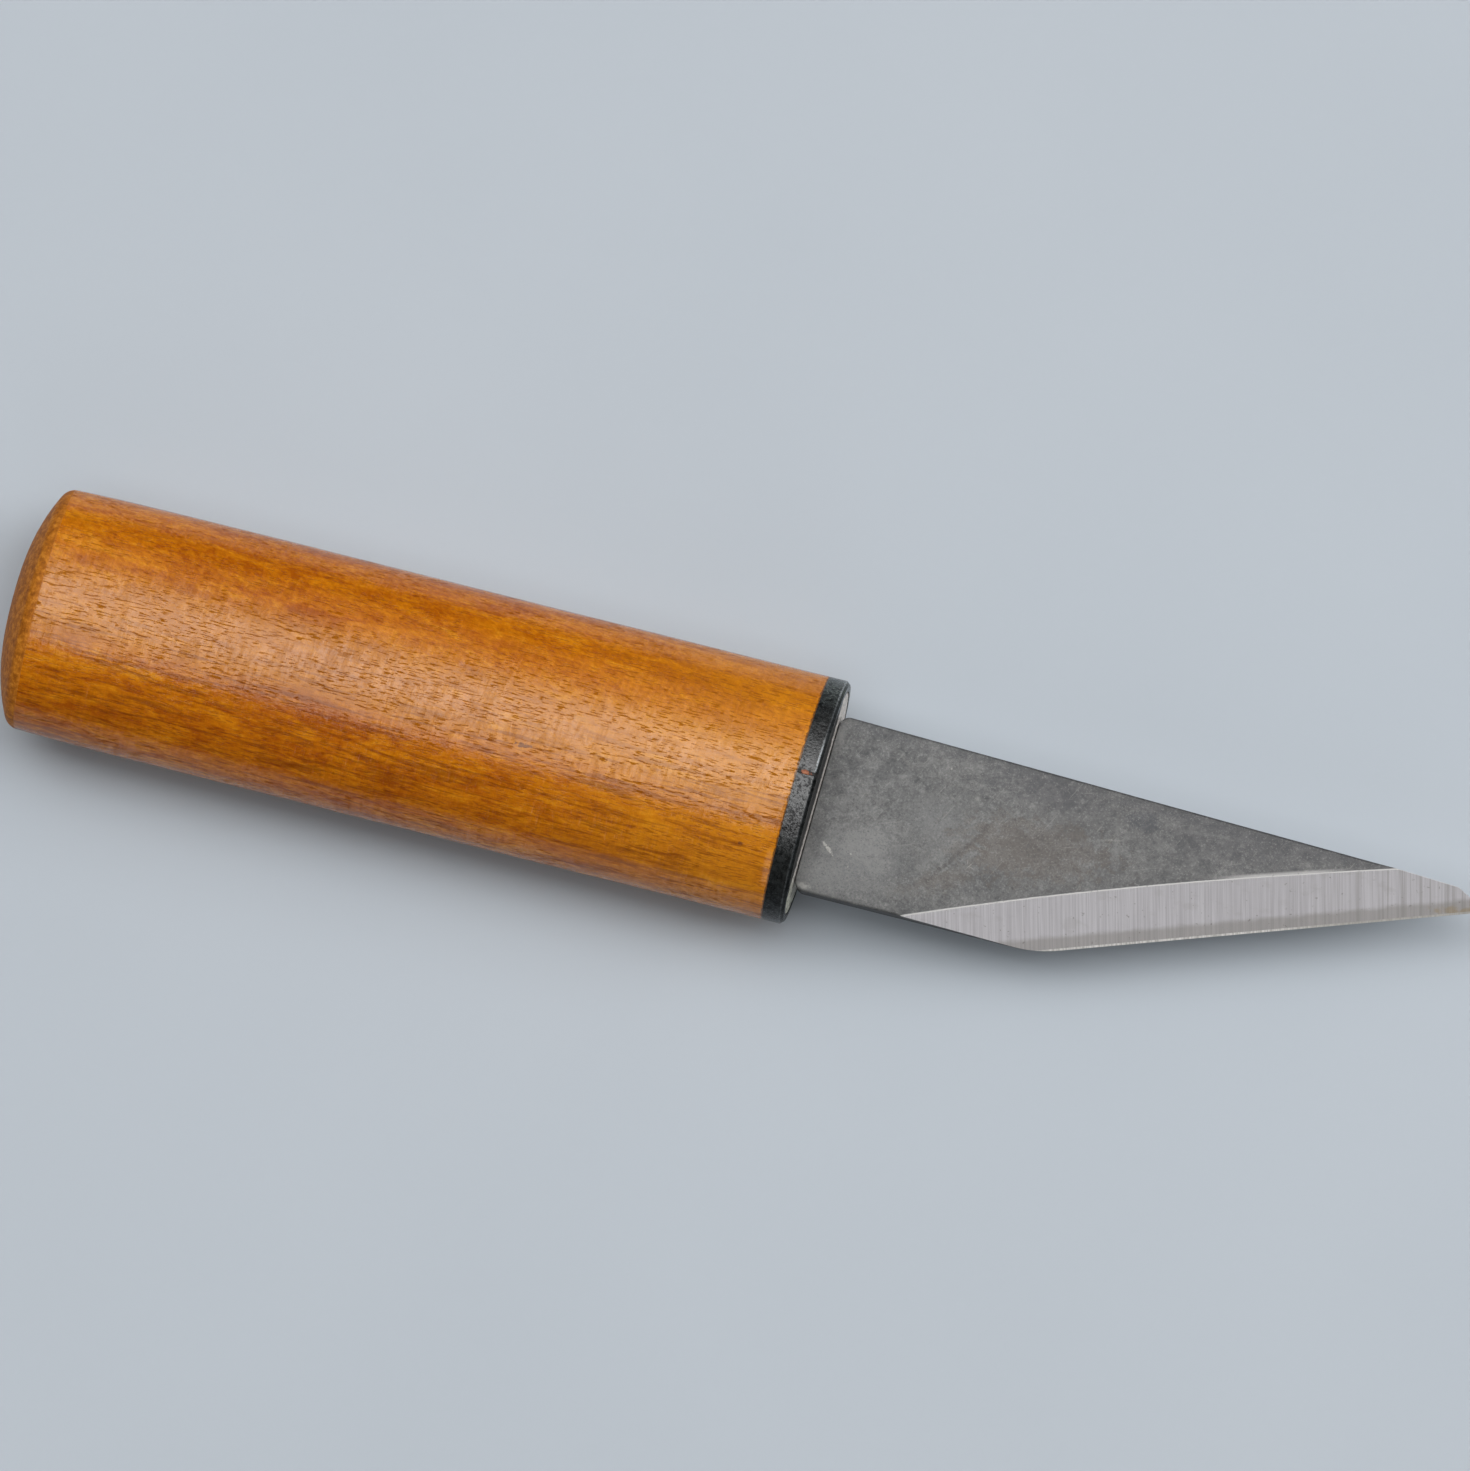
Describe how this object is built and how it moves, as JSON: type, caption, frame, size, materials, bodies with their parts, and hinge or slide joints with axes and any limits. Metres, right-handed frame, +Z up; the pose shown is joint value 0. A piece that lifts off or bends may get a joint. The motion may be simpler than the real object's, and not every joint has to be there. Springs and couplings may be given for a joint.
{
  "type": "marking knife",
  "caption": "Marking knife for scribing lines in wood: laminated single-bevel blade with a hollow-ground back, on a hidden tang in an oval wooden handle with a steel ferrule.",
  "frame": {"origin": "under the middle of the knife, on the surface that the handle rests on, with the bevel up", "axes": "+X along the knife from the butt to the tip, +Y to the spine side, +Z up, away from the flat back"},
  "size_m": [0.151, 0.0252, 0.0175],
  "materials": {
    "lacquered_wood": "glossy clear lacquer over orange-brown close-grained hardwood",
    "black_steel": "blackened, semi-gloss",
    "ground_steel": "flat ground, fine parallel scratches",
    "braze": "copper-coloured braze, dull",
    "forged_iron": "dark grey forge scale on the face, ground on the bevel",
    "hard_steel": "ground, fine scratches square to the edge",
    "adhesive": "cured adhesive, not visible"
  },
  "bodies": {
    "root": {"handle": "lacquered_wood", "ferrule_ring": "black_steel", "ferrule_plate": "ground_steel", "ferrule_braze": "braze", "blade_body": "forged_iron", "cutting_steel": "hard_steel", "tang_bedding": "adhesive"}
  },
  "joints": []
}
